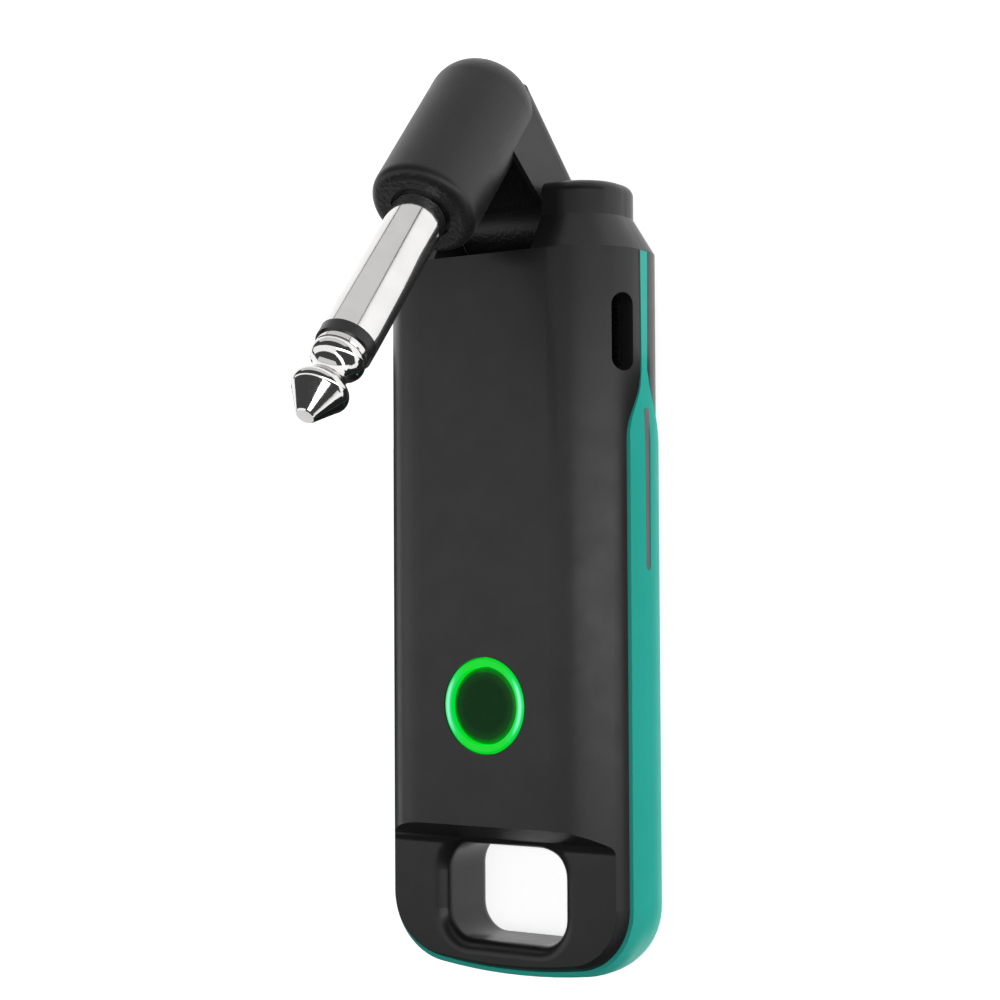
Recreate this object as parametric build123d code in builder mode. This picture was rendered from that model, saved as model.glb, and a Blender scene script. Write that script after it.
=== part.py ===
from build123d import *
from math import acos, atan2, cos, hypot, radians, sin, sqrt
import os

# Wireless guitar transmitter, lying on its flat back.
# X is its width, +Y runs from the strap hole to the hinge, +Z comes out of its front face.
# The origin is the middle of the flat back. Millimetres.

# body
body_width = 32.6
body_thick = 16.4
side_round = 7.6
wall = 1.6
foot_y = -44.4
foot_bulge = 2.0
foot_corner = 7.8
waist_y = 37.1
mid_z = body_thick / 2
front_z = body_thick
half_width = body_width / 2

# edges are picked to this accuracy, and cutters run this far past a face
pick_tolerance = 0.01
cut_past = 1.0

# coloured band round the side, narrow beside the port and wide below it
band_half = 3.1
strip_half = 0.75
flare_low_y = 15.8
flare_high_y = 23.6
band_proud = 0.45
strip_proud = 0.1
band_end_y = 37.0

# hinge ears at the top
ear_setback = 2.4
shoulder_rise = 4.0
ear_top_y = 44.95
ear_gap_half = 6.6
ear_edge = 1.2
hinge_y = 41.2
rear_waist_y = 35.3
pin_radius = 1.5
pin_clearance = 0.06
pin_half_length = 12.4
pin_wire_radius = 0.7
washer_gap = 0.02
washer_clearance = 0.05
washer_inset = 0.2

# saddle that closes the body under the hinge
saddle_radius = 5.45
saddle_thick = 1.1
saddle_turn = 25
saddle_gap = 0.05

# strap hole and the stepped-back faces around it
hole_width = 16.0
hole_low_y = -40.8
hole_high_y = -29.8
hole_corner = 3.3
step_y = -27.3
step_slope = 2.0
step_depth = 3.5

step_foot_round = 1.2
hole_rim_round = 1.6
hole_rim_reach = 0.1

# cavity
cavity_low_y = -25.6
cavity_high_y = 34.0

# button
button_y = -13.8
ring_outer = 5.4
ring_inner = 4.45
button_gap = 0.08
button_travel = 0.4
ring_low_z = 13.4
ring_flange = 6.3
ring_flange_gap = 0.1
ring_edge = 0.3
cap_flange = 5.0
cap_low_z = 12.5
cap_sunk = 0.25
cap_top_z = front_z - cap_sunk
cap_edge = 0.5
plunger_low_z = 11.2
plunger_radius = 0.9
plunger_clearance = 0.1
switch_width = 4.5
switch_thick = 1.6
switch_floor = 0.2

# charging port
port_y = 27.7
port_z = mid_z + 3.4
port_length = 8.7
port_height = 2.75

connector_mouth_x = 14.6
connector_depth = 7.3
connector_length = 8.94
connector_height = 3.16
connector_gap = 0.06

shell_thick = 0.25
tongue_root = 1.4
tongue_length = 6.6
tongue_thick = 0.7
tongue_sunk = 0.8

# circuit board
board_thick = 1.0
board_half_width = 12.6
board_low_y = -25.0
board_high_y = 33.2
board_top_z = 10.0
board_bottom_z = board_top_z - board_thick
board_corner = 2.0

# pieces on top of the board: name, middles in x and y, size in x, y and z
pieces_on_top = (
    ("radio_shield", [(0, 8.0)], (14, 12, 1.8)),
    ("audio_chip", [(-6.5, 22.5)], (5, 5, 0.9)),
    ("power_chip", [(1.5, 19.5)], (3, 3, 0.8)),
    ("chip_antenna", [(10.6, -20.5)], (2.2, 7, 1.2)),
    ("ring_lights", [(-4.85, button_y), (4.85, button_y)], (1.2, 2.2, 0.7)),
)
pieces_under = (("side_lights", [(11.6, 4.5), (11.6, 16.0)], (1.6, 1.6, 0.8)),)

# light pipe in the right side
pipe_low_y = 1.3
pipe_high_y = 19.4
pipe_width = 1.0

pipe_inner_x = 13.0
pipe_sunk = 0.1

# battery
battery_y = 4.0
battery_length = 42.0
battery_width = 19.0
battery_thick = 5.7
battery_edge = 1.5
tape_thick = 0.4
tape_width = 12.0
tape_length = 33.6
foam_length = 25.2

# cover screws
screw_x = 6.0
screw_low_y = -22.6
screw_high_y = 30.6
screw_radius = 1.0
screw_head_radius = 1.8
screw_head_thick = 1.2
screw_sunk = 0.3
screw_length = 12.6
screw_pilot = 5.2
screw_clearance = 0.1
slot_width = 0.5
slot_length = 2.4
slot_depth = 0.6
boss_radius = 2.3
boss_clearance = 0.15
boss_parting = 0.05
boss_root = 0.4

# head: the plug leaves its barrel at this angle below the body's length direction
plug_tilt = 49.7
barrel_radius = 6.1
barrel_length = 21.9
dome_round = 4.3
arm_round = 2.2
arm_reach = 14.26
hinge_set = 13.63
arm_front_set = 1.28
arm_back_set = 21.5
heel_set = 20.5
heel_reach = 12.0
arm_half_width = 5.6
knuckle_radius = 3.7
boss_half_width = 6.3
bore_radius = 3.5
bore_depth = 16.0
boss_radius_at_hinge = 3.2
pocket_half = 4.9
pocket_depth = 0.9
pocket_span = (2.0, 10.5)
mouth_round = 1.3
cover_thick = 1.2
cover_width = 5.4
cover_length = 8.8
cover_gap = 0.1
cover_sunk = 0.05
cover_corner = 0.6
cover_place = (-17.2, 6.1)
wire_room_half = 2.4
wire_room_reach = 9.6

# plug
rod_radius = 1.2
rod_start = -9.8
inner_tube_radius = 2.1
shank_radius = 2.85
sleeve_start = 0.3
collar_start = -3.0
collar_sunk = 0.35
sleeve_tail = -7.0
plug_radius = 3.175
plug_length = 30.5
sleeve_length = 19.6
insulator_width = 1.3
insulator_tail = -8.2
insulator_sunk = 0.02
lug_tail = -8.6
lug_radius = 2.6

# the tip's outline beyond the insulator
ring_radius = 2.9
ring_width = 0.75
ring_step = 0.1
bead_radius = 3.0
bead_foot_radius = 2.85
bead_middle = 0.7
bead_end_radius = 2.65
bead_end = 23.2
neck_radius = 2.0
tip_neck = 24.6
shoulder_foot_radius = 2.85
shoulder_start = 26.1
shoulder_radius = 3.15
tip_widest = 26.9
cone_radius = 2.9
cone_start = 27.4
tip_end_radius = 0.95
tip_end_round = 0.15

plug_dir = Vector(0, -sin(radians(plug_tilt)), cos(radians(plug_tilt)))
arm_dir = Vector(0, -cos(radians(plug_tilt)), -sin(radians(plug_tilt)))
hinge_point = Vector(0, hinge_y, mid_z)
mouth_point = hinge_point + plug_dir * hinge_set - arm_dir * arm_reach

# across the plug: local x is the body's width, local z points to the plug's tip
mouth_plane = Plane(origin=mouth_point, x_dir=(1, 0, 0), z_dir=plug_dir)
# along the plug: local x is a radius, local y points to the plug's tip
turning_plane = Plane(origin=mouth_point, x_dir=(1, 0, 0), z_dir=arm_dir)
# the head's own side view: local x points to the plug's tip, local y towards the hinge
head_side_plane = Plane(origin=mouth_point, x_dir=plug_dir, z_dir=(1, 0, 0))
plug_axis = Axis(mouth_point, plug_dir)
side_plane = Plane(origin=(0, 0, 0), x_dir=(0, 1, 0), z_dir=(1, 0, 0))

os.makedirs("parts", exist_ok=True)


def save(part, name):
    part.label = name
    export_step(part, f"parts/{name}.step")


def rounded_slab(grow, high_y, shoulder_grow=None):
    """The body's long rounded shape, grown all round by a distance."""
    edge_x = half_width + grow
    top_x = edge_x if shoulder_grow is None else half_width + shoulder_grow
    low_y = foot_y - grow
    with BuildPart() as slab:
        with BuildSketch(Plane.XY.offset(-grow)) as plan:
            with BuildLine():
                Polyline((top_x, flare_high_y), (top_x, high_y), (-top_x, high_y), (-top_x, flare_high_y))
                Polyline((-top_x, flare_high_y), (-edge_x, flare_low_y), (-edge_x, low_y + foot_bulge))
                ThreePointArc((-edge_x, low_y + foot_bulge), (0, low_y), (edge_x, low_y + foot_bulge))
                Polyline((edge_x, low_y + foot_bulge), (edge_x, flare_low_y), (top_x, flare_high_y))
            make_face()
            fillet(plan.vertices().sort_by(Axis.Y)[:2], radius=foot_corner + grow)
        extrude(amount=body_thick + 2 * grow)
        rims = slab.edges().filter_by(Plane.XY).filter_by(lambda e: e.center().Y < high_y - pick_tolerance)
        fillet(rims, radius=side_round + grow)
    return slab.part


def band_profile(gap, end_y):
    """The band's edge lines, seen from the side."""
    wide = band_half + gap
    narrow = strip_half + gap
    with BuildSketch(side_plane.offset(-2 * half_width)) as profile:
        with BuildLine():
            Line((2 * foot_y, mid_z + wide), (flare_low_y, mid_z + wide))
            Spline(
                (flare_low_y, mid_z + wide),
                (flare_high_y, mid_z + narrow),
                tangents=((1, 0), (1, 0)),
            )
            Line((flare_high_y, mid_z + narrow), (end_y, mid_z + narrow))
            Line((end_y, mid_z + narrow), (end_y, mid_z - narrow))
            Line((end_y, mid_z - narrow), (flare_high_y, mid_z - narrow))
            Spline(
                (flare_high_y, mid_z - narrow),
                (flare_low_y, mid_z - wide),
                tangents=((-1, 0), (-1, 0)),
            )
            Line((flare_low_y, mid_z - wide), (2 * foot_y, mid_z - wide))
            Line((2 * foot_y, mid_z - wide), (2 * foot_y, mid_z + wide))
        make_face()
    return profile.sketch


def section(grow, y):
    """The body's cross-section at a height along it."""
    with BuildSketch(Plane.XZ.offset(-y)) as cut:
        with Locations((0, mid_z)):
            RectangleRounded(body_width + 2 * grow, body_thick + 2 * grow, side_round + grow)
    return cut.sketch


def body_blank():
    """The whole outside of the two covers, with the ears as one block."""
    slab = rounded_slab(0, waist_y)
    ear_foot = waist_y + shoulder_rise
    waist_section = section(0, waist_y)
    ear_section = section(-ear_setback, ear_foot)
    with BuildPart() as blank:
        add(slab)
        loft([waist_section, ear_section])
        extrude(ear_section, amount=ear_top_y - ear_foot, dir=(0, 1, 0))
        top = blank.faces().sort_by(Axis.Y)[-1]
        fillet(top.edges(), radius=ear_edge)
    return blank.part


def head_gap():
    """The room between the ears and above the saddle, where the head swings."""
    with BuildPart() as gap:
        with BuildSketch(side_plane.offset(-ear_gap_half)):
            with BuildLine():
                outer = saddle_radius + saddle_thick
                low_turn = radians(saddle_turn)
                lip_z = mid_z + sqrt(outer**2 - (hinge_y - waist_y) ** 2)
                Polyline((waist_y, lip_z), (waist_y, 2 * front_z), (2 * ear_top_y, 2 * front_z))
                Polyline((2 * ear_top_y, 2 * front_z), (2 * ear_top_y, -front_z), (rear_waist_y, -front_z))
                Polyline((rear_waist_y, -front_z), (rear_waist_y, wall), (hinge_y - outer, mid_z))
                ThreePointArc(
                    (hinge_y - outer, mid_z),
                    (hinge_y - outer * cos(low_turn), mid_z + outer * sin(low_turn)),
                    (waist_y, lip_z),
                )
            make_face()
        extrude(amount=2 * ear_gap_half)
    return gap.part


def cavity():
    """The hollow that the battery and the board lie in."""
    inner_slab = rounded_slab(-wall, waist_y)
    with BuildPart() as hollow:
        add(inner_slab)
        half_length = (cavity_high_y - cavity_low_y) / 2
        with Locations((0, cavity_low_y + half_length, mid_z)):
            Box(2 * body_width, 2 * half_length, 2 * body_thick, mode=Mode.INTERSECT)
    return hollow.part


def strap_cut():
    """The strap hole, and the step back round it in the front and in the back face."""
    with BuildPart() as cut:
        with BuildSketch(side_plane.offset(-body_width)):
            for face, out in ((body_thick, 1), (0, -1)):
                Polygon(
                    (step_y, face + out),
                    (step_y, face),
                    (step_y - step_slope, face - out * step_depth),
                    (2 * foot_y, face - out * step_depth),
                    (2 * foot_y, face + out),
                    align=None,
                )
        extrude(amount=2 * body_width)
        foot_lines = cut.edges().filter_by(Axis.X).filter_by(
            lambda e: abs(e.center().Y - step_y + step_slope) < pick_tolerance
        )
        fillet(foot_lines, radius=step_foot_round)
        with BuildSketch():
            with Locations((0, (hole_low_y + hole_high_y) / 2)):
                RectangleRounded(hole_width, hole_high_y - hole_low_y, hole_corner)
        extrude(amount=body_thick)
    return cut.part


def pin_channel(radius):
    with BuildPart() as channel:
        with BuildSketch(Plane.YZ.offset(-pin_half_length - pin_clearance)):
            with Locations((hinge_y, mid_z)):
                Circle(radius)
        extrude(amount=2 * (pin_half_length + pin_clearance))
    return channel.part


def screw_spots(z):
    return [(x, y, z) for x in (-screw_x, screw_x) for y in (screw_low_y, screw_high_y)]


def tube(spots, radius, height, mode=Mode.ADD):
    with Locations(*spots):
        Cylinder(radius, height, align=(Align.CENTER, Align.CENTER, Align.MIN), mode=mode)


def soften_hole(part_builder):
    """Round the rim of the strap hole where it meets the stepped-back face."""
    rim = part_builder.edges().filter_by(
        lambda e: abs(abs(e.center().Z - mid_z) - (mid_z - step_depth)) < pick_tolerance
        and abs(e.center().X) < hole_width / 2 + hole_rim_reach
        and hole_low_y - hole_rim_reach < e.center().Y < hole_high_y + hole_rim_reach
    )
    fillet(rim, radius=hole_rim_round)


# shared cutters and blanks
blank = body_blank()
gap_cut = head_gap()
hollow = cavity()
strap = strap_cut()
band_zone = extrude(band_profile(0, band_end_y), amount=4 * half_width)
band_outside = rounded_slab(band_proud, band_end_y, strip_proud)
band_inside = rounded_slab(-wall, waist_y)
band_room = band_zone - band_inside
pin_bore = pin_channel(pin_radius + pin_clearance)

with BuildPart() as front_half:
    with Locations((0, 0, mid_z)):
        Box(4 * body_width, 4 * ear_top_y, 2 * body_thick, align=(Align.CENTER, Align.CENTER, Align.MIN))

# front cover
with BuildPart() as front_cover:
    add(blank)
    add(front_half.part, mode=Mode.INTERSECT)
    add(gap_cut, mode=Mode.SUBTRACT)
    add(strap, mode=Mode.SUBTRACT)
    soften_hole(front_cover)
    add(hollow, mode=Mode.SUBTRACT)
    tube(screw_spots(mid_z + boss_parting), boss_radius, front_z - wall - mid_z + boss_root)
    tube(screw_spots(mid_z), screw_radius, screw_pilot, mode=Mode.SUBTRACT)
    add(band_room, mode=Mode.SUBTRACT)
    add(pin_bore, mode=Mode.SUBTRACT)
    with Locations((0, button_y, front_z - 2 * wall)):
        Cylinder(
            ring_outer + button_gap, 3 * wall,
            align=(Align.CENTER, Align.CENTER, Align.MIN), mode=Mode.SUBTRACT,
        )
    with BuildSketch(Plane.YZ.offset(connector_mouth_x)):
        with Locations((port_y, port_z)):
            SlotOverall(port_length, port_height)
    extrude(amount=body_width, mode=Mode.SUBTRACT)
    with BuildSketch(Plane.YZ.offset(connector_mouth_x - connector_depth)):
        with Locations((port_y, port_z)):
            SlotOverall(connector_length + 2 * connector_gap, connector_height + 2 * connector_gap)
    extrude(amount=connector_depth + connector_gap, mode=Mode.SUBTRACT)
save(front_cover.part, "front_cover")

# rear cover
with BuildPart() as rear_cover:
    add(blank)
    add(front_half.part, mode=Mode.SUBTRACT)
    add(gap_cut, mode=Mode.SUBTRACT)
    add(strap, mode=Mode.SUBTRACT)
    soften_hole(rear_cover)
    add(hollow, mode=Mode.SUBTRACT)
    tube(screw_spots(wall / 2), boss_radius, mid_z - wall / 2)
    tube(screw_spots(0), screw_radius + screw_clearance, mid_z, mode=Mode.SUBTRACT)
    tube(screw_spots(0), screw_head_radius + screw_clearance, wall, mode=Mode.SUBTRACT)
    add(band_room, mode=Mode.SUBTRACT)
    add(pin_bore, mode=Mode.SUBTRACT)
save(rear_cover.part, "rear_cover")

# coloured side band
with BuildPart() as side_frame:
    add(band_outside)
    add(band_inside, mode=Mode.SUBTRACT)
    add(band_zone, mode=Mode.INTERSECT)
    with BuildSketch(Plane.YZ):
        with Locations(((pipe_low_y + pipe_high_y) / 2, mid_z)):
            SlotOverall(pipe_high_y - pipe_low_y, pipe_width)
    extrude(amount=body_width, mode=Mode.SUBTRACT)
save(side_frame.part, "side_frame")

# saddle between the ears
with BuildPart() as hinge_saddle:
    outer_radius = saddle_radius + saddle_thick
    lip_out_z = mid_z + sqrt(outer_radius**2 - (hinge_y - waist_y) ** 2)
    lip_in_z = mid_z + sqrt(saddle_radius**2 - (hinge_y - waist_y) ** 2)
    low_turn = radians(saddle_turn)
    with BuildSketch(side_plane.offset(-ear_gap_half + saddle_gap)):
        with BuildLine():
            Line((hinge_y - saddle_radius, wall), (hinge_y - saddle_radius, mid_z))
            ThreePointArc(
                (hinge_y - saddle_radius, mid_z),
                (hinge_y - saddle_radius * cos(low_turn), mid_z + saddle_radius * sin(low_turn)),
                (waist_y, lip_in_z),
            )
            Line((waist_y, lip_in_z), (waist_y, lip_out_z))
            ThreePointArc(
                (waist_y, lip_out_z),
                (hinge_y - outer_radius * cos(low_turn), mid_z + outer_radius * sin(low_turn)),
                (hinge_y - outer_radius, mid_z),
            )
            Line((hinge_y - outer_radius, mid_z), (rear_waist_y, wall))
            Line((rear_waist_y, wall), (hinge_y - saddle_radius, wall))
        make_face()
    extrude(amount=2 * (ear_gap_half - saddle_gap))
save(hinge_saddle.part, "hinge_saddle")

# light pipe in the side
with BuildPart() as side_light_pipe:
    with BuildSketch(Plane.YZ.offset(pipe_inner_x)):
        with Locations(((pipe_low_y + pipe_high_y) / 2, mid_z)):
            SlotOverall(pipe_high_y - pipe_low_y, pipe_width)
    extrude(amount=half_width + band_proud - pipe_sunk - pipe_inner_x)
save(side_light_pipe.part, "side_light_pipe")

# lit ring round the button
with BuildPart() as button_light_ring:
    tube([(0, button_y, ring_low_z)], ring_outer, front_z - ring_low_z)
    tube([(0, button_y, ring_low_z)], ring_flange, front_z - wall - ring_flange_gap - ring_low_z)
    tube([(0, button_y, ring_low_z)], ring_inner, front_z, mode=Mode.SUBTRACT)
    fillet(button_light_ring.faces().sort_by(Axis.Z)[-1].outer_wire().edges(), radius=ring_edge)
save(button_light_ring.part, "button_light_ring")

# button cap, which presses the switch through its plunger
with BuildPart() as power_button:
    tube([(0, button_y, cap_low_z)], cap_flange, ring_low_z - button_travel / 4 - cap_low_z)
    tube([(0, button_y, cap_low_z)], ring_inner - button_gap, cap_top_z - cap_low_z)
    fillet(power_button.faces().sort_by(Axis.Z)[-1].edges(), radius=cap_edge)
save(power_button.part, "power_button")

with BuildPart() as switch_plunger:
    tube([(0, button_y, plunger_low_z)], plunger_radius, cap_low_z - plunger_low_z)
save(switch_plunger.part, "switch_plunger")

with BuildPart() as button_switch:
    with Locations((0, button_y, board_top_z)):
        Box(switch_width, switch_width, switch_thick, align=(Align.CENTER, Align.CENTER, Align.MIN))
    tube(
        [(0, button_y, board_top_z + switch_floor)],
        plunger_radius + plunger_clearance, front_z, mode=Mode.SUBTRACT,
    )
save(button_switch.part, "button_switch")

# circuit board, with holes for the screw bosses
with BuildPart() as circuit_board:
    with BuildSketch(Plane.XY.offset(board_bottom_z)):
        with Locations((0, (board_low_y + board_high_y) / 2)):
            RectangleRounded(2 * board_half_width, board_high_y - board_low_y, board_corner)
        with Locations(*[(x, y) for x, y, z in screw_spots(0)]):
            Circle(boss_radius + boss_clearance, mode=Mode.SUBTRACT)
    extrude(amount=board_thick)
save(circuit_board.part, "circuit_board")


def box_on_board(name, spots, size, under=False):
    """Small parts soldered to the board, as one group where there are several."""
    low = board_bottom_z - size[2] if under else board_top_z
    with BuildPart() as group:
        with Locations(*[(x, y, low) for x, y in spots]):
            Box(*size, align=(Align.CENTER, Align.CENTER, Align.MIN))
    save(group.part, name)


for piece_name, spots, size in pieces_on_top:
    box_on_board(piece_name, spots, size)
for piece_name, spots, size in pieces_under:
    box_on_board(piece_name, spots, size, under=True)

# battery between its tape and a foam pad
with BuildPart() as battery:
    with Locations((0, battery_y, wall + tape_thick)):
        Box(battery_width, battery_length, battery_thick, align=(Align.CENTER, Align.CENTER, Align.MIN))
    fillet(battery.edges().filter_by(Axis.Y), radius=battery_edge)
save(battery.part, "battery")

with BuildPart() as battery_tape:
    with Locations((0, battery_y, wall)):
        Box(tape_width, tape_length, tape_thick, align=(Align.CENTER, Align.CENTER, Align.MIN))
save(battery_tape.part, "battery_tape")

with BuildPart() as foam_pad:
    with Locations((0, battery_y, wall + tape_thick + battery_thick)):
        foam_thick = board_bottom_z - wall - tape_thick - battery_thick
        Box(tape_width, foam_length, foam_thick, align=(Align.CENTER, Align.CENTER, Align.MIN))
save(foam_pad.part, "foam_pad")

# charging connector: a folded metal shell round a contact tongue
room_length = connector_length - 2 * shell_thick
room_height = connector_height - 2 * shell_thick
with BuildPart() as port_shell:
    with BuildSketch(Plane.YZ.offset(connector_mouth_x - connector_depth)):
        with Locations((port_y, port_z)):
            SlotOverall(connector_length, connector_height)
            SlotOverall(room_length, room_height, mode=Mode.SUBTRACT)
    extrude(amount=connector_depth)
save(port_shell.part, "port_shell")

with BuildPart() as port_tongue:
    with BuildSketch(Plane.YZ.offset(connector_mouth_x - connector_depth)):
        with Locations((port_y, port_z)):
            SlotOverall(room_length, room_height)
    extrude(amount=tongue_root)
    with BuildSketch(Plane.YZ.offset(connector_mouth_x - connector_depth)):
        with Locations((port_y, port_z)):
            Rectangle(tongue_length, tongue_thick)
    extrude(amount=connector_depth - tongue_sunk)
save(port_tongue.part, "port_tongue")

# the four screws that hold the covers together
with BuildPart() as cover_screws:
    tube(screw_spots(screw_sunk), screw_head_radius, screw_head_thick)
    tube(screw_spots(screw_sunk), screw_radius, screw_length)
    with Locations(*screw_spots(screw_sunk)):
        Box(slot_width, slot_length, 2 * slot_depth, mode=Mode.SUBTRACT)
        Box(slot_length, slot_width, 2 * slot_depth, mode=Mode.SUBTRACT)
save(cover_screws.part, "cover_screws")


def turned(name, outline):
    """A round piece of the plug, turned about the plug's axis from its outline."""
    with BuildPart() as piece:
        with BuildSketch(turning_plane):
            Polygon(*outline, align=None)
        revolve(axis=plug_axis)
    save(piece.part, name)


def arm_outline():
    """The arm in the head's side view: a straight back, a heel and a knuckle proud of its front."""
    centre = (-hinge_set, arm_reach)
    heel = (-heel_set, heel_reach)
    front = -hinge_set + arm_front_set
    to_heel = atan2(heel[1] - centre[1], heel[0] - centre[0])
    reach = hypot(heel[0] - centre[0], heel[1] - centre[1])
    leave = to_heel - acos(knuckle_radius / reach)
    leave_point = (centre[0] + knuckle_radius * cos(leave), centre[1] + knuckle_radius * sin(leave))
    crease_point = (front, centre[1] - sqrt(knuckle_radius**2 - arm_front_set**2))
    with BuildSketch(head_side_plane.offset(-arm_half_width)) as outline:
        with BuildLine():
            Polyline((front, 0), (-arm_back_set, 0), heel, leave_point)
            ThreePointArc(leave_point, (centre[0] + knuckle_radius, centre[1]), crease_point)
            Line(crease_point, (front, 0))
        make_face()
    return outline.sketch


def head_box(x_span, s_span, a_span):
    """A box in the head's side view, from low to high across, along the plug and down the arm."""
    with BuildPart() as block:
        with BuildSketch(head_side_plane.offset(x_span[0])):
            with Locations(((s_span[0] + s_span[1]) / 2, (a_span[0] + a_span[1]) / 2)):
                Rectangle(s_span[1] - s_span[0], a_span[1] - a_span[0])
        extrude(amount=x_span[1] - x_span[0])
    return block.part


arm_sketch = arm_outline()
with BuildPart() as arm:
    extrude(arm_sketch, amount=2 * arm_half_width, dir=(1, 0, 0))
    back_face = arm.faces().filter_by(lambda f: abs(f.normal_at().X) < pick_tolerance)
    back_face = back_face.sort_by(lambda f: (f.center() - mouth_point).dot(plug_dir))[0]
    back_lines = back_face.edges().sort_by(lambda e: (e.center() - mouth_point).dot(arm_dir))[1:]
    fillet(back_lines, radius=arm_round)

with BuildPart() as barrel:
    with BuildSketch(mouth_plane):
        Circle(barrel_radius)
    extrude(amount=-barrel_length)

arm_front = -hinge_set + arm_front_set
cover_low = -arm_half_width + cover_thick
cover_seat_half = cover_width / 2 + cover_gap
cover_seat_reach = cover_length / 2 + cover_gap
cover_s, cover_a = cover_place
front_pocket = head_box(
    (-pocket_half, pocket_half),
    (arm_front - pocket_depth, arm_front + cut_past),
    pocket_span,
)
front_pocket = front_pocket - barrel.part
wire_room = head_box(
    (cover_low, wire_room_half),
    (cover_s - wire_room_half, cover_s + wire_room_half),
    (0, wire_room_reach),
)
cover_seat = head_box(
    (-arm_half_width - cut_past, cover_low),
    (cover_s - cover_seat_half, cover_s + cover_seat_half),
    (cover_a - cover_seat_reach, cover_a + cover_seat_reach),
)

with BuildPart() as head_housing:
    add(barrel.part)
    ends = head_housing.edges().filter_by(GeomType.CIRCLE)
    ends = ends.sort_by(lambda e: (e.center() - mouth_point).dot(plug_dir))
    fillet(ends[0], radius=dome_round)
    fillet(ends[-1], radius=mouth_round)
    add(arm.part)
    with BuildSketch(head_side_plane.offset(-boss_half_width)):
        with Locations((-hinge_set, arm_reach)):
            Circle(boss_radius_at_hinge)
    extrude(amount=2 * boss_half_width)
    with BuildSketch(mouth_plane):
        Circle(bore_radius)
    extrude(amount=-bore_depth, mode=Mode.SUBTRACT)
    add(front_pocket, mode=Mode.SUBTRACT)
    add(wire_room, mode=Mode.SUBTRACT)
    add(cover_seat, mode=Mode.SUBTRACT)
    with BuildSketch(head_side_plane.offset(-boss_half_width - cut_past)):
        with Locations((-hinge_set, arm_reach)):
            Circle(pin_radius)
    extrude(amount=2 * (boss_half_width + cut_past), mode=Mode.SUBTRACT)
save(head_housing.part, "head_housing")

with BuildPart() as hinge_pin:
    with BuildSketch(Plane.YZ.offset(-pin_half_length)):
        with Locations((hinge_y, mid_z)):
            Circle(pin_radius)
            Circle(pin_wire_radius, mode=Mode.SUBTRACT)
    extrude(amount=2 * pin_half_length)
save(hinge_pin.part, "hinge_pin")

with BuildPart() as hinge_washers:
    for start in (-ear_gap_half + washer_gap, boss_half_width + washer_gap):
        with BuildSketch(Plane.YZ.offset(start)):
            with Locations((hinge_y, mid_z)):
                Circle(boss_radius_at_hinge - washer_inset)
                Circle(pin_radius + washer_clearance, mode=Mode.SUBTRACT)
        extrude(amount=ear_gap_half - boss_half_width - 2 * washer_gap)
save(hinge_washers.part, "hinge_washers")

# plug, turned pieces from the outside in: radius, then distance from the barrel's mouth
insulator_end = sleeve_length + insulator_width
turned("plug_collar", [
    (shank_radius, collar_start), (bore_radius, collar_start),
    (bore_radius, -collar_sunk), (shank_radius, -collar_sunk),
])
turned("plug_sleeve", [
    (inner_tube_radius, sleeve_tail), (bore_radius, sleeve_tail),
    (bore_radius, collar_start), (shank_radius, collar_start),
    (shank_radius, sleeve_start), (plug_radius, sleeve_start),
    (plug_radius, sleeve_length), (inner_tube_radius, sleeve_length),
])
turned("plug_insulator", [
    (rod_radius, insulator_tail), (bore_radius, insulator_tail),
    (bore_radius, sleeve_tail), (inner_tube_radius, sleeve_tail),
    (inner_tube_radius, sleeve_length), (plug_radius - insulator_sunk, sleeve_length),
    (plug_radius - insulator_sunk, insulator_end), (rod_radius, insulator_end),
])
turned("signal_lug", [
    (rod_radius, lug_tail), (lug_radius, lug_tail),
    (lug_radius, insulator_tail), (rod_radius, insulator_tail),
])

# tip: a ring and a bead behind the neck, then a rounded shoulder and a cone with a flat end
with BuildPart() as plug_tip:
    ring_end = insulator_end + ring_width
    bead_start = ring_end + ring_step
    with BuildSketch(turning_plane):
        with BuildLine():
            Polyline((0, rod_start), (rod_radius, rod_start), (rod_radius, insulator_end))
            Polyline((rod_radius, insulator_end), (ring_radius, insulator_end), (ring_radius, ring_end))
            Line((ring_radius, ring_end), (bead_foot_radius, bead_start))
            ThreePointArc(
                (bead_foot_radius, bead_start),
                (bead_radius, ring_end + bead_middle),
                (bead_end_radius, bead_end),
            )
            ThreePointArc(
                (bead_end_radius, bead_end),
                (neck_radius, tip_neck),
                (shoulder_foot_radius, shoulder_start),
            )
            ThreePointArc(
                (shoulder_foot_radius, shoulder_start),
                (shoulder_radius, tip_widest),
                (cone_radius, cone_start),
            )
            Line((cone_radius, cone_start), (tip_end_radius + tip_end_round, plug_length - tip_end_round))
            Polyline(
                (tip_end_radius + tip_end_round, plug_length - tip_end_round),
                (tip_end_radius, plug_length), (0, plug_length), (0, rod_start),
            )
        make_face()
    revolve(axis=plug_axis)
save(plug_tip.part, "plug_tip")

# cover on the hidden side of the arm
with BuildPart() as arm_cover:
    with BuildSketch(head_side_plane.offset(-arm_half_width + cover_sunk)):
        with Locations(cover_place):
            RectangleRounded(cover_width, cover_length, cover_corner)
    extrude(amount=cover_thick - cover_sunk)
save(arm_cover.part, "arm_cover")
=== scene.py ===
from math import cos, pi, radians, sin

import bpy
from mathutils import Matrix, Vector


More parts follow.
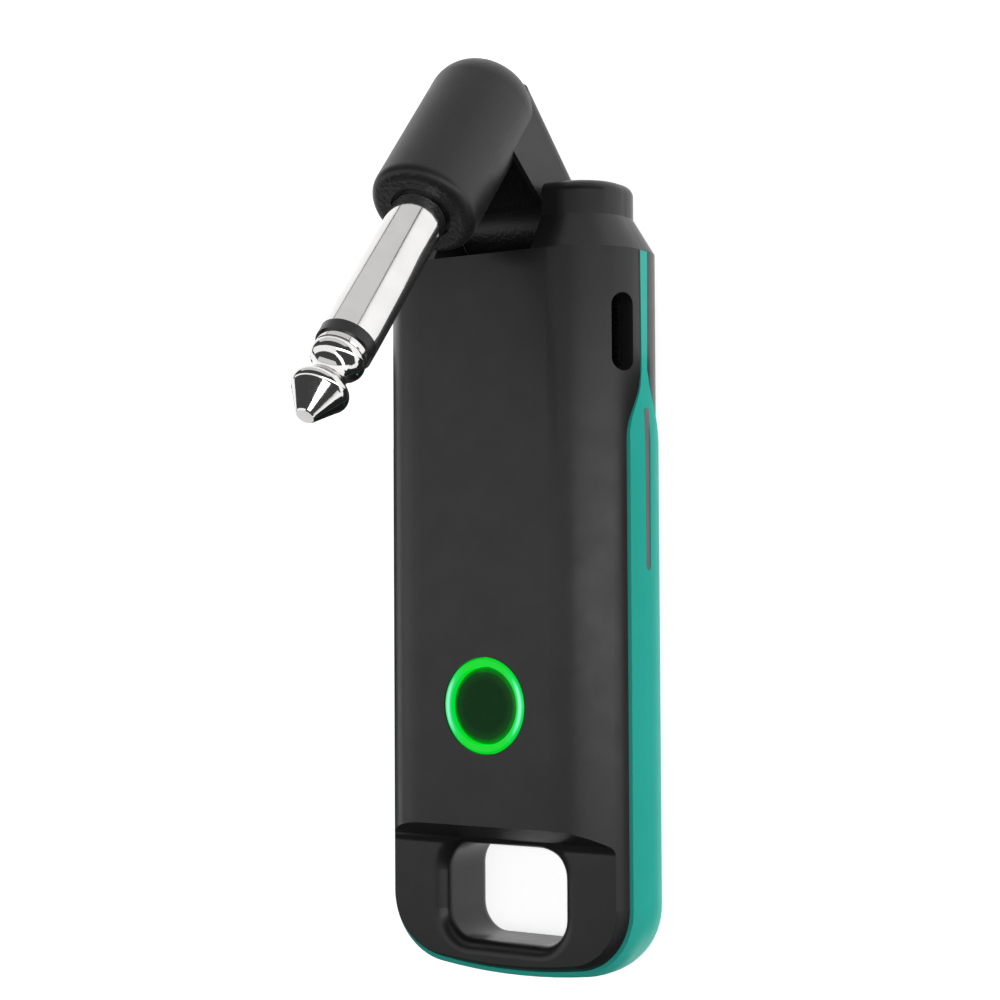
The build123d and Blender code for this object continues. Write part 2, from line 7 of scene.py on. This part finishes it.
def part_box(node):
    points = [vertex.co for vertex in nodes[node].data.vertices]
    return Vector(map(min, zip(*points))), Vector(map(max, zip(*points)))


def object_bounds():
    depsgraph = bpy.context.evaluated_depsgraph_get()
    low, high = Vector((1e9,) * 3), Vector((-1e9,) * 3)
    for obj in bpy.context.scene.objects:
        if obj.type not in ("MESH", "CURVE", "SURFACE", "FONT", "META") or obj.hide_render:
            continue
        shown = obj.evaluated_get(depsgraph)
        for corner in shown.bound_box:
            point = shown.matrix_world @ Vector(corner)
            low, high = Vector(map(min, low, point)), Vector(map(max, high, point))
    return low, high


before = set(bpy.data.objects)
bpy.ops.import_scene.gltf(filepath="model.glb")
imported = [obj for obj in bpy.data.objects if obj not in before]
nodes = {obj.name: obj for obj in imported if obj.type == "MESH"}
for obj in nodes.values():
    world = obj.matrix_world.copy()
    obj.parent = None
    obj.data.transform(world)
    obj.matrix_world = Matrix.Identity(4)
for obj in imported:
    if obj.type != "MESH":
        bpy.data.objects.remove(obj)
cad_low, cad_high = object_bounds()
MM = 0.001

# the plug stands at this angle from the body's length
PLUG_TILT = radians(49.7)


# ---------------------------------------------------------------- materials

NOISE_ROUGHNESS = 0.55
METAL_LINES = (0.12, 1, 1)

# moulded plastic, in millimetres: uneven patches, dust specks and patches of other roughness
PATCH_SIZE = 14.0
PATCH_HEIGHT = 0.01
DUST_SPACING = 1.9
DUST_EDGE = (0.03, 0.05)
TINT_EDGE = (0.35, 0.85)
ROUGH_PATCH = 3.4
ROUGH_BELOW = 0.03
ROUGH_ABOVE = 0.04

# the head's coarse grain, in millimetres, and how squarely a face looks along the plug to have it
COARSE_GRAIN = 0.42
COARSE_HEIGHT = 0.12
COARSE_FACING = (0.70, 0.95)

# light ring, in metres: where a painted highlight turns it white at its left and right sides, and the
# painted highlight streak along its middle
SIDE_HIGHLIGHT_FADE = (0.0030, 0.0050)
SIDE_HIGHLIGHT_UNEVEN = 0.0006
HIGHLIGHT_STREAK_RADIUS = 0.0049
HIGHLIGHT_STREAK_EDGE = (0.0001, 0.00045)
HIGHLIGHT_STREAK_LEFT = 0.25
RING_GLOW = 0.86
# the ring's green glow, running to the nearly white painted highlight at the top stop
RING_GLOW_AND_HIGHLIGHT_COLOURS = [(0.0, (0.0, 0.74, 0.02)), (0.55, (0.0, 0.82, 0.12)), (1.0, (0.30, 1.0, 0.70))]

# button cap, in metres: where the painted glow of the ring's light on the cap begins and where it is full
CAP_PAINTED_GLOW_FADE = (0.0030, 0.0046)
CAP_PAINTED_GLOW_UNEVEN = 0.0003
# strength and colours of that painted glow
CAP_PAINTED_GLOW = 0.8
CAP_PAINTED_GLOW_COLOURS = [(0.0, (0.0, 0.022, 0.003)), (0.55, (0.0, 0.060, 0.004)), (1.0, (0.0, 0.45, 0.01))]

# name, dark and light colour, roughness, pieces
PLASTICS = (
    ("rough_black", (0.006, 0.006, 0.006), (0.010, 0.010, 0.010), 0.55, ("hinge_saddle", "plug_collar")),
    ("insulator_black", (0.010, 0.010, 0.010), (0.016, 0.016, 0.016), 0.28, ("plug_insulator",)),
    (
        "nylon_white", (0.60, 0.60, 0.57), (0.70, 0.70, 0.67), 0.45,
        ("hinge_washers", "switch_plunger", "button_switch"),
    ),
    (
        "chip_black", (0.006, 0.006, 0.006), (0.010, 0.010, 0.010), 0.4,
        ("port_tongue", "audio_chip", "power_chip"),
    ),
    ("board_green", (0.010, 0.090, 0.035), (0.016, 0.130, 0.050), 0.3, ("circuit_board", "chip_antenna")),
    ("light_clear", (0.60, 0.64, 0.55), (0.75, 0.78, 0.70), 0.2, ("ring_lights", "side_lights")),
    ("tape_white", (0.62, 0.62, 0.60), (0.72, 0.72, 0.70), 0.7, ("battery_tape",)),
    ("foam_grey", (0.05, 0.05, 0.05), (0.10, 0.10, 0.10), 0.9, ("foam_pad",)),
)
PLASTIC_GRAIN = 0.25
PLASTIC_HEIGHT = 0.006
METALS = (
    ("pin_steel", (0.45, 0.45, 0.46), (0.62, 0.62, 0.62), 0.3, ("hinge_pin", "radio_shield")),
    ("port_steel", (0.16, 0.16, 0.16), (0.22, 0.22, 0.22), 0.3, ("port_shell",)),
    ("battery_foil", (0.48, 0.49, 0.50), (0.62, 0.63, 0.64), 0.35, ("battery",)),
    ("screw_black", (0.03, 0.03, 0.03), (0.06, 0.06, 0.06), 0.35, ("cover_screws",)),
    ("lug_brass", (0.45, 0.32, 0.12), (0.60, 0.45, 0.20), 0.3, ("signal_lug",)),
)
METAL_GRAIN = 0.25
METAL_HEIGHT = 0.0015
METAL_SPREAD = 0.05


class Look:
    """A node material, built up from small named steps around one Principled shader."""

    def __init__(self, name):
        self.material = bpy.data.materials.new(name)
        self.material.use_nodes = True
        self.tree = self.material.node_tree
        self.shader = self.tree.nodes["Principled BSDF"]
        self.coordinates = self.tree.nodes.new("ShaderNodeTexCoord")
        self.place = self.coordinates.outputs["Object"]
        self.bump_out = None

    def link(self, source, target):
        self.tree.links.new(source, target)

    def fix(self, **values):
        """Set shader sockets that are the same all over the surface."""
        for name, value in values.items():
            self.shader.inputs[name.replace("_", " ")].default_value = value

    def moved(self, stretch=(1, 1, 1), shift=(0, 0, 0)):
        """The place on the piece, stretched and then shifted."""
        mapping = self.tree.nodes.new("ShaderNodeMapping")
        mapping.inputs["Scale"].default_value = stretch
        mapping.inputs["Location"].default_value = shift
        self.link(self.place, mapping.inputs["Vector"])
        return mapping.outputs["Vector"]

    def noise(self, size, detail=3.0, stretch=(1, 1, 1)):
        """Noise whose blotches are about this many millimetres across."""
        noise = self.tree.nodes.new("ShaderNodeTexNoise")
        noise.inputs["Scale"].default_value = 1 / (size * MM)
        noise.inputs["Detail"].default_value = detail
        noise.inputs["Roughness"].default_value = NOISE_ROUGHNESS
        self.link(self.moved(stretch), noise.inputs["Vector"])
        return noise.outputs["Fac"]

    def cells(self, size):
        """Distance to scattered points about this many millimetres apart."""
        cells = self.tree.nodes.new("ShaderNodeTexVoronoi")
        cells.inputs["Scale"].default_value = 1 / (size * MM)
        self.link(self.moved(), cells.inputs["Vector"])
        return cells.outputs["Distance"]

    def maths(self, operation, *inputs):
        """One step of arithmetic on sockets and numbers."""
        node = self.tree.nodes.new("ShaderNodeMath")
        node.operation = operation
        for slot, value in zip(node.inputs, inputs):
            if isinstance(value, (int, float)):
                slot.default_value = value
            else:
                self.link(value, slot)
        return node.outputs["Value"]

    def facing(self, direction, low, high):
        """From 0 to 1 as the part's own surface turns towards a direction."""
        dot = self.tree.nodes.new("ShaderNodeVectorMath")
        dot.operation = "DOT_PRODUCT"
        self.link(self.coordinates.outputs["Normal"], dot.inputs[0])
        dot.inputs[1].default_value = direction
        return self.ramp(dot.outputs["Value"], 0, 1, low, high)

    def from_axis(self, centre, stretch=(1, 1, 0)):
        """Distance in metres from a line along Z, or from what a stretch leaves of the axes."""
        shift = [-c * f for c, f in zip(centre, stretch)]
        length = self.tree.nodes.new("ShaderNodeVectorMath")
        length.operation = "LENGTH"
        self.link(self.moved(stretch, shift), length.inputs[0])
        return length.outputs["Value"]

    def ramp(self, source, low, high, low_at=0.3, high_at=0.7):
        """Map a grey source to the span between two numbers."""
        span = self.tree.nodes.new("ShaderNodeMapRange")
        span.inputs["From Min"].default_value = low_at
        span.inputs["From Max"].default_value = high_at
        span.inputs["To Min"].default_value = low
        span.inputs["To Max"].default_value = high
        self.link(source, span.inputs["Value"])
        return span.outputs["Result"]

    def colours(self, source, stops):
        """Colour that runs through (position, (r, g, b)) stops with a grey source."""
        ramp = self.tree.nodes.new("ShaderNodeValToRGB")
        elements = ramp.color_ramp.elements
        for index, (position, colour) in enumerate(stops):
            element = elements[index] if index < 2 else elements.new(position)
            element.position = position
            element.color = (*colour, 1)
        self.link(source, ramp.inputs["Fac"])
        return ramp.outputs["Color"]

    def tint(self, source, dark, light, low_at=0.3, high_at=0.7):
        """Base colour that runs from dark to light with a grey source."""
        colour = self.colours(source, [(low_at, dark), (high_at, light)])
        self.link(colour, self.shader.inputs["Base Color"])

    def roughness(self, source, low, high):
        self.link(self.ramp(source, low, high), self.shader.inputs["Roughness"])

    def bump(self, source, height, strength=1.0):
        """Raise the surface by this many millimetres; several bumps add up."""
        bump = self.tree.nodes.new("ShaderNodeBump")
        bump.inputs["Distance"].default_value = height * MM
        if isinstance(strength, (int, float)):
            bump.inputs["Strength"].default_value = strength
        else:
            self.link(strength, bump.inputs["Strength"])
        self.link(source, bump.inputs["Height"])
        if self.bump_out:
            self.link(self.bump_out, bump.inputs["Normal"])
        self.bump_out = bump.outputs["Normal"]
        self.link(self.bump_out, self.shader.inputs["Normal"])


def moulded(name, dark, light, rough, grain, height, ior=1.45):
    """Moulded plastic: fine spark-eroded grain, sparse dust specks and a faint unevenness."""
    look = Look(name)
    fine = look.noise(grain, detail=4.0)
    broad = look.noise(PATCH_SIZE, detail=2.0)
    specks = look.ramp(look.cells(DUST_SPACING), 1, 0, *DUST_EDGE)
    look.tint(look.maths("MAXIMUM", broad, specks), dark, light, *TINT_EDGE)
    look.roughness(look.noise(ROUGH_PATCH, detail=4.0), rough - ROUGH_BELOW, rough + ROUGH_ABOVE)
    look.bump(broad, PATCH_HEIGHT)
    look.bump(fine, height)
    look.fix(IOR=ior)
    return look


def head_black():
    """The head's plastic, with a coarser grain on the faces that look along the plug."""
    dark, light = (0.010, 0.010, 0.0105), (0.019, 0.019, 0.0195)
    look = moulded("head_black", dark, light, rough=0.40, grain=0.22, height=0.016)
    coarse = look.facing((0, -sin(PLUG_TILT), cos(PLUG_TILT)), *COARSE_FACING)
    look.bump(look.noise(COARSE_GRAIN, detail=2.0), COARSE_HEIGHT, coarse)
    return look.material


def middle_of(name):
    """The middle of a CAD piece's box."""
    return [(a + b) / 2 for a, b in zip(*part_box(name))]


def light_ring():
    """A clear ring over two lamps, glowing green all round, with a painted highlight that turns it nearly
    white at its left and right sides.
    """
    centre = middle_of("button_light_ring")
    look = Look("light_ring")
    # painted highlight: rises towards the ring's left and right sides and is strongest along its middle
    sideways = look.from_axis(centre, (1, 0, 0))
    uneven = look.maths("MULTIPLY", look.noise(0.7), SIDE_HIGHLIGHT_UNEVEN)
    painted_highlight_sides = look.ramp(look.maths("ADD", sideways, uneven), 0, 1, *SIDE_HIGHLIGHT_FADE)
    off_middle = look.maths("ABSOLUTE", look.maths("SUBTRACT", look.from_axis(centre), HIGHLIGHT_STREAK_RADIUS))
    highlight_streak = look.ramp(off_middle, 1, HIGHLIGHT_STREAK_LEFT, *HIGHLIGHT_STREAK_EDGE)
    painted_highlight = look.maths("MULTIPLY", painted_highlight_sides, highlight_streak)
    look.link(look.colours(painted_highlight, RING_GLOW_AND_HIGHLIGHT_COLOURS), look.shader.inputs["Emission Color"])
    look.fix(Emission_Strength=RING_GLOW, IOR=1.3)
    look.tint(look.noise(1.2), (0.0, 0.10, 0.01), (0.0, 0.16, 0.02))
    look.roughness(look.noise(0.8), 0.16, 0.24)
    return look.material


def tinted_cap():
    """A dark green lens with a painted glow of the ring's light, stronger towards the ring round it."""
    centre = middle_of("power_button")
    look = Look("tinted_cap")
    # painted light from the ring, rising towards the cap's edge
    uneven = look.maths("MULTIPLY", look.noise(1.5), CAP_PAINTED_GLOW_UNEVEN)
    painted_ring_light = look.ramp(look.maths("ADD", look.from_axis(centre), uneven), 0, 1, *CAP_PAINTED_GLOW_FADE)
    look.link(look.colours(painted_ring_light, CAP_PAINTED_GLOW_COLOURS), look.shader.inputs["Emission Color"])
    look.fix(Emission_Strength=CAP_PAINTED_GLOW, IOR=1.18)
    look.tint(look.noise(0.9), (0.001, 0.012, 0.002), (0.002, 0.018, 0.003))
    look.roughness(look.noise(1.1), 0.22, 0.30)
    look.bump(look.noise(0.5), 0.002)
    return look.material


def smoked_light():
    """The grey light pipe, smooth and unlit."""
    look = Look("smoked_light")
    look.tint(look.noise(6.0, detail=2.0), (0.16, 0.17, 0.175), (0.19, 0.20, 0.205))
    look.roughness(look.noise(4.0), 0.34, 0.38)
    return look.material


def nickel():
    """Polished plating with a faint waviness."""
    look = Look("nickel_plate")
    look.tint(look.noise(3.0, detail=2.0), (0.70, 0.69, 0.68), (0.76, 0.755, 0.75))
    look.roughness(look.noise(0.6, detail=5.0), 0.05, 0.10)
    look.bump(look.noise(1.2, detail=3.0), 0.0015)
    look.fix(Metallic=1.0)
    return look.material


def brushed(name, dark, light, rough):
    """Metal with fine lines along X."""
    look = Look(name)
    lines = look.noise(METAL_GRAIN, detail=3.0, stretch=METAL_LINES)
    look.tint(lines, dark, light)
    look.roughness(lines, rough - METAL_SPREAD, rough + METAL_SPREAD)
    look.bump(lines, METAL_HEIGHT)
    look.fix(Metallic=1.0)
    return look.material


def assign(material, *names):
    for name in names:
        slots = nodes[name].data.materials
        slots.clear()
        slots.append(material)


soft_black = moulded(
    "soft_black", (0.0085, 0.0085, 0.009), (0.015, 0.015, 0.0155),
    rough=0.33, grain=0.16, height=0.005,
)
teal_satin = moulded(
    "teal_satin", (0.004, 0.415, 0.335), (0.006, 0.450, 0.365),
    rough=0.40, grain=0.20, height=0.004, ior=1.38,
)
assign(soft_black.material, "front_cover", "rear_cover")
assign(head_black(), "head_housing", "arm_cover")
assign(teal_satin.material, "side_frame")
assign(smoked_light(), "side_light_pipe")
assign(light_ring(), "button_light_ring")
assign(tinted_cap(), "power_button")
assign(nickel(), "plug_sleeve", "plug_tip")
for kind, dark, light, rough, pieces in PLASTICS:
    assign(moulded(kind, dark, light, rough, PLASTIC_GRAIN, PLASTIC_HEIGHT).material, *pieces)
for kind, dark, light, rough, pieces in METALS:
    assign(brushed(kind, dark, light, rough), *pieces)


# ---------------------------------------------------------------- camera

# the camera looks at the body's middle from in front, to the right, with the hinge end up
CAMERA_AZIMUTH = radians(33.62)
CAMERA_RISE = radians(-1.65)
CAMERA_ROLL = radians(-0.33)
CAMERA_DISTANCE = 247.57 * MM
CAMERA_TARGET = Vector((0, 7.0 * MM, 8.2 * MM))
FOCAL_WIDTHS = 2.1416
SENSOR_WIDTH = 36.0
CAMERA_SHIFT = (-0.0229, 0.0221)
CAMERA_CLIP = (0.01, 10)


def camera_axes():
    """Right, up and forward for a body standing on its foot, laid down on its back."""
    level_part = cos(CAMERA_RISE)
    forward = Vector((
        -sin(CAMERA_AZIMUTH) * level_part,
        cos(CAMERA_AZIMUTH) * level_part,
        -sin(CAMERA_RISE),
    ))
    level = Vector((cos(CAMERA_AZIMUTH), sin(CAMERA_AZIMUTH), 0))
    top = level.cross(forward)
    right = cos(CAMERA_ROLL) * level + sin(CAMERA_ROLL) * top
    up = cos(CAMERA_ROLL) * top - sin(CAMERA_ROLL) * level
    return [Vector((v.x, v.z, -v.y)) for v in (right, up, forward)]


def add_camera():
    right, up, forward = camera_axes()
    data = bpy.data.cameras.new("camera")
    data.sensor_width = SENSOR_WIDTH
    data.lens = FOCAL_WIDTHS * SENSOR_WIDTH
    data.shift_x, data.shift_y = CAMERA_SHIFT
    data.clip_start, data.clip_end = CAMERA_CLIP
    camera = bpy.data.objects.new("camera", data)
    turn = Matrix((right, up, -forward)).transposed().to_4x4()
    camera.matrix_world = Matrix.Translation(CAMERA_TARGET - forward * CAMERA_DISTANCE) @ turn
    bpy.context.scene.collection.objects.link(camera)
    bpy.context.scene.camera = camera


add_camera()


# ---------------------------------------------------------------- floor and light

FLOOR_REACH = (-3.0, 3.0)
FLOOR_GLOW = 0.78
WORLD_STRENGTH = 0.06
BODY_MIDDLE = (0, 0.0, 0.008)

# softboxes along the body: lean from straight overhead in degrees, width, radiance
LIGHT_DISTANCE = 0.6
SOFTBOX_LENGTH = 1.3
OVERHEADS = (
    ("left_softbox", -32, 0.30, 1.1),
    ("right_softbox", 62, 0.16, 3.6),
)

# the card past the hinge end, which the plug reflects
CARD_PLACE = (0, 0.75, 0.30)
CARD_SIZE = (1.9, 0.50)
CARD_RADIANCE = 0.72
CARD_AIM = (0, 0, 0.30)

# black flags on the floor: spans in X and in Y
FLAG_RISE = 0.0004
FLAGS = (
    ("left_flag", (-0.070, -0.0185), (-0.30, 0.030)),
    ("right_flag", (0.0185, 0.080), (-0.30, 0.026)),
    ("foot_flag", (-0.0185, 0.0185), (-0.30, -0.048)),
)


def flat_card(name, x_span, y_span, z, look):
    """A flat rectangle that isn't part of the object."""
    (left, right), (low, high) = x_span, y_span
    corners = [(left, low, z), (right, low, z), (right, high, z), (left, high, z)]
    mesh = bpy.data.meshes.new(name)
    mesh.from_pydata(corners, [], [(0, 1, 2, 3)])
    mesh.materials.append(look.material)
    card = bpy.data.objects.new(name, mesh)
    bpy.context.scene.collection.objects.link(card)
    return card


def floor():
    look = Look("floor_white")
    look.tint(look.noise(60.0), (0.84, 0.84, 0.84), (0.87, 0.87, 0.87))
    look.roughness(look.noise(30.0), 0.85, 0.9)
    look.fix(Emission_Color=(1, 1, 1, 1), Emission_Strength=FLOOR_GLOW)
    flat_card("floor", FLOOR_REACH, FLOOR_REACH, cad_low[2], look)


def black_flag(name, x_span, y_span):
    """A black card lying beside the body, which only its glossy reflections see."""
    look = Look(name)
    look.tint(look.noise(30.0), (0.010, 0.010, 0.010), (0.014, 0.014, 0.014))
    look.roughness(look.noise(20.0), 0.8, 0.9)
    card = flat_card(name, x_span, y_span, cad_low[2] + FLAG_RISE, look)
    card.visible_camera = False
    card.visible_diffuse = False
    card.visible_shadow = False


def softbox(name, place, size, radiance, aim=BODY_MIDDLE):
    """A plain glowing rectangle of this size in metres, as bright as its radiance says."""
    light = bpy.data.lights.new(name, "AREA")
    light.shape = "RECTANGLE"
    light.size, light.size_y = size
    light.energy = pi * size[0] * size[1] * radiance
    lamp = bpy.data.objects.new(name, light)
    lamp.location = place
    lamp.rotation_euler = (Vector(aim) - Vector(place)).to_track_quat("-Z", "Y").to_euler()
    bpy.context.scene.collection.objects.link(lamp)


def overhead(name, lean, width, radiance):
    """A long softbox along the body, leaning from straight overhead towards +X."""
    angle = radians(lean)
    place = (LIGHT_DISTANCE * sin(angle), 0, LIGHT_DISTANCE * cos(angle))
    softbox(name, place, (width, SOFTBOX_LENGTH), radiance)


def world_light():
    world = bpy.data.worlds.new("studio")
    world.use_nodes = True
    background = world.node_tree.nodes["Background"]
    background.inputs["Color"].default_value = (1, 1, 1, 1)
    background.inputs["Strength"].default_value = WORLD_STRENGTH
    bpy.context.scene.world = world


floor()
world_light()
for flag in FLAGS:
    black_flag(*flag)
for box in OVERHEADS:
    overhead(*box)
softbox("hinge_end_card", CARD_PLACE, CARD_SIZE, CARD_RADIANCE, CARD_AIM)
bpy.context.scene.view_settings.view_transform = "Standard"
